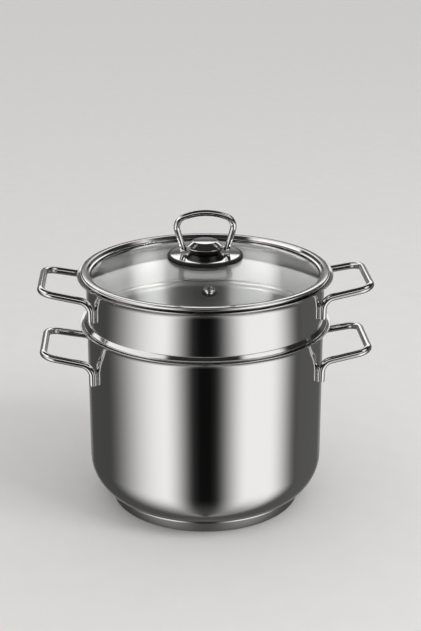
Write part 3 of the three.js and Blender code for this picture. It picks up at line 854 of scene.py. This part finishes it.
for ring_name, node, low, high, finish, slot in (
    ("fixing_washer", "screw_washer", washer_low, washer_high, screw_steel, "mirror_steel"),
    ("fixing_gasket", "screw_seal", gasket_low, gasket_high, gasket_silicone, "black_silicone"),
):
    ring = outline([
        (screw_hole, low.z, 0),
        (high.x, low.z, RING_EDGE_ROUND),
        (high.x, high.z, RING_EDGE_ROUND),
        (screw_hole, high.z, 0),
    ], closed=True)
    turn(ring, SCREW_FACETS)
    add_piece(ring, ring_name, [finish], "lid", node)

# Studio
# The pot stands on a plain pale floor under soft, even light. What the steel mirrors is a ring of white
# screens, low beside the camera and high at the corners, in front and behind, with dark cloth between them.
# Light that comes in through the glass lid is stronger, so that the satin steel inside shows.
FLOOR_SIZE = 12
PALE = (0.9, 0.89, 0.88, 1)
PAPER_PALE = (0.82, 0.81, 0.8, 1)
PAPER_DARK = (0.78, 0.77, 0.76, 1)
PAPER_GRAIN_SCALE = 40
floor_mesh = bmesh.new()
bmesh.ops.create_grid(floor_mesh, x_segments=1, y_segments=1, size=FLOOR_SIZE / 2)
floor_data = bpy.data.meshes.new("studio_floor")
floor_mesh.to_mesh(floor_data)
floor_mesh.free()
floor = bpy.data.objects.new("studio_floor", floor_data)
bpy.context.scene.collection.objects.link(floor)
floor.location.z = cad_box[0].z
floor.visible_glossy = False
floor_material = bpy.data.materials.new("floor_paper")
paper = Shader(floor_material)
paper_grain = paper.noise(paper.place(), PAPER_GRAIN_SCALE, EVEN, detail=3)
paper.surface({
    "Base Color": paper.blend(paper_grain, PAPER_DARK, PAPER_PALE),
    "Roughness": 0.9,
})
floor_data.materials.append(floor_material)

# Each span runs, in degrees, from where a screen begins and is full to where it starts to fade and ends.
BELOW_CEILING = (-99, -98, 38, 48)
BELOW_LID = (-99, -98, -6, 4)
LEFT_SCREEN = (10, 41, 39, 112)
LEFT_TALL = (46, 58, 190, 191)
RIGHT_SCREEN = (9, 43, 65, 103)
RIGHT_CORNER = (50, 62, 94, 102)
RIGHT_CORNER_HEIGHT = (38, 44, 62, 68)
FRONT_STRIP = (-2, -1, 60, 90)
FRONT_STRIP_HEIGHT = (22, 25, 33, 36)
LEFT_CORNER = (56, 62, 132, 146)
LEFT_CORNER_HEIGHT = (18.5, 19.5, 70, 75)
LEFT_CORNER_TOP = (-99, -98, 91, 96)
LEFT_CORNER_LEAN = 0.45
BACK_SCREEN = (140, 150, 190, 191)
BACK_SCREEN_HEIGHT = (17.5, 19, 34, 42)
SIDE_CLOTH = (80, 110, 190, 191)
SIDE_CLOTH_HEIGHT = (-99, -98, 10, 19)
BACKDROP = (150, 165, 190, 191)
BACKDROP_HEIGHT = (-99, -98, 12, 19)
FRONT_GAP = (-2, -1, 4, 12)
ABOVE_FLOOR = (-78, -28, 98, 99)
INSIDE_HEIGHT = (7, 12, 36, 46)
INSIDE_LEFT = (22, 34, 68, 84)
INSIDE_RIGHT = (40, 52, 70, 86)
INSIDE_FAR_RIGHT = (88, 98, 115, 130)
STUDIO_TURN = 2.7
SCREEN_LIGHT = 1.2
INSIDE_LIGHT = 20.0
FAR_RIGHT_SHARE = 0.15
DARK_CLOTH_GLOW = 0.005
ROOM_GLOW = 0.02
LEFT_CLOTH_GLOW = 0.05
RIGHT_CLOTH_GLOW = 0.09
BACKDROP_GLOW = 0.17
FLOOR_GLOW = 0.07
FLOOR_SHEEN = 0.17
AMBIENT = 0.85
SCREEN_TINT = (1, 0.99, 0.98, 1)


def within(shader, value, span):
    """1 where a value lies inside a span and 0 outside it, with soft steps."""
    begin, full, fading, end = span
    rising = shader.node("ShaderNodeMapRange", {"interpolation_type": "SMOOTHSTEP"},
                         {"Value": value, "From Min": begin, "From Max": full})
    falling = shader.node("ShaderNodeMapRange", {"interpolation_type": "SMOOTHSTEP"},
                          {"Value": value, "From Min": fading, "From Max": end})
    return rising * (1 - falling)


studio = bpy.data.worlds.new("studio")
bpy.context.scene.world = studio
light = Shader(studio)
outlook = light.node("ShaderNodeTexCoord", {}, {}, "Generated")
axes = {name: light.node("ShaderNodeSeparateXYZ", {}, {0: outlook}, name) for name in "XYZ"}
degree = math.degrees(1)
bearing = light.math("ARCTAN2", axes["X"], 0 - axes["Y"]) * degree + STUDIO_TURN
leftward = 0 - bearing
away = light.math("ABSOLUTE", bearing, 0)
height = light.math("ARCSINE", axes["Z"], 0) * degree
above_floor = within(light, height, ABOVE_FLOOR)
below_ceiling = within(light, height, BELOW_CEILING)
below_lid = within(light, height, BELOW_LID)
left_tall = within(light, leftward, LEFT_TALL) * below_ceiling
left_screen = within(light, leftward, LEFT_SCREEN) * light.math("MAXIMUM", below_lid, left_tall)
right_screen = within(light, bearing, RIGHT_SCREEN) * below_lid
right_corner = within(light, bearing, RIGHT_CORNER) * within(light, height, RIGHT_CORNER_HEIGHT)
left_lean = within(light, height - LEFT_CORNER_LEAN * bearing, LEFT_CORNER_TOP)
left_corner = within(light, leftward, LEFT_CORNER) * within(light, height, LEFT_CORNER_HEIGHT) * left_lean
front_strip = within(light, away, FRONT_STRIP) * within(light, height, FRONT_STRIP_HEIGHT)
back_screen = within(light, away, BACK_SCREEN) * within(light, height, BACK_SCREEN_HEIGHT)
left_cloth = within(light, leftward, SIDE_CLOTH) * within(light, height, SIDE_CLOTH_HEIGHT)
right_cloth = within(light, bearing, SIDE_CLOTH) * within(light, height, SIDE_CLOTH_HEIGHT)
backdrop = within(light, away, BACKDROP) * within(light, height, BACKDROP_HEIGHT)
front_gap = within(light, away, FRONT_GAP) * below_ceiling
low_screens = SCREEN_LIGHT * light.math("MAXIMUM", left_screen, right_screen)
corners = light.math("MAXIMUM", right_corner, left_corner)
strips = light.math("MAXIMUM", back_screen, front_strip)
high_screens = SCREEN_LIGHT * light.math("MAXIMUM", corners, strips)
cloth = LEFT_CLOTH_GLOW * left_cloth + RIGHT_CLOTH_GLOW * right_cloth + BACKDROP_GLOW * backdrop
shine = light.math("MAXIMUM", low_screens * above_floor, high_screens)
shine = shine + DARK_CLOTH_GLOW + ROOM_GLOW * (1 - front_gap) + above_floor * cloth
shine = shine + (1 - above_floor) * (FLOOR_GLOW + FLOOR_SHEEN * low_screens)
rays = {name: light.node("ShaderNodeLightPath", {}, {}, name)
        for name in ("Is Camera Ray", "Is Glossy Ray", "Is Transmission Ray")}
inside_left = within(light, leftward, INSIDE_LEFT)
inside_far_right = FAR_RIGHT_SHARE * within(light, bearing, INSIDE_FAR_RIGHT)
inside_right = within(light, bearing, INSIDE_RIGHT) + inside_far_right
inside_sides = light.math("MAXIMUM", inside_left, inside_right)
inside = INSIDE_LIGHT * within(light, height, INSIDE_HEIGHT) * inside_sides
shine = shine + rays["Is Transmission Ray"] * inside
ambient = light.node("ShaderNodeBackground", {}, {"Color": PALE, "Strength": AMBIENT})
pale = light.node("ShaderNodeBackground", {}, {"Color": PALE, "Strength": 1.0})
screens = light.node("ShaderNodeBackground", {}, {"Color": SCREEN_TINT, "Strength": shine})
mirrored = light.math("MAXIMUM", rays["Is Glossy Ray"], rays["Is Transmission Ray"])
lit = light.node("ShaderNodeMixShader", {}, {0: mirrored, 1: ambient, 2: screens})
whole = light.node("ShaderNodeMixShader", {}, {0: rays["Is Camera Ray"], 1: lit, 2: pale})
light.node("ShaderNodeOutputWorld", {}, {"Surface": whole})

KEY_PLACE = Vector((1.3, -0.9, 1.7))
KEY_SIZE = 0.9
KEY_POWER = 14
key_data = bpy.data.lights.new("key_lamp", "AREA")
key_data.size = KEY_SIZE
key_data.energy = KEY_POWER
key = bpy.data.objects.new("key_lamp", key_data)
key.location = KEY_PLACE
key.rotation_euler = (-KEY_PLACE).to_track_quat("-Z", "Y").to_euler()
key.visible_glossy = False
bpy.context.scene.collection.objects.link(key)

# Camera
# Set where the photograph was taken from: a long lens well over a metre away, a little to the left of the
# front, looking down on the lid.
CAMERA_PLACE = Vector((-0.0581, -1.2449, 0.6230))
CAMERA_BEARING = math.radians(-2.9)
CAMERA_TILT = math.radians(19.52)
PICTURE_HEIGHT = 631
FOCAL_PIXELS = 1400
camera_data = bpy.data.cameras.new("camera")
camera_data.sensor_fit = "VERTICAL"
camera_data.lens = camera_data.sensor_height * FOCAL_PIXELS / PICTURE_HEIGHT
camera = bpy.data.objects.new("camera", camera_data)
camera.location = CAMERA_PLACE
camera.rotation_euler = (math.pi / 2 - CAMERA_TILT, 0, CAMERA_BEARING)
bpy.context.scene.collection.objects.link(camera)
bpy.context.scene.camera = camera
bpy.context.scene.view_settings.view_transform = "Standard"
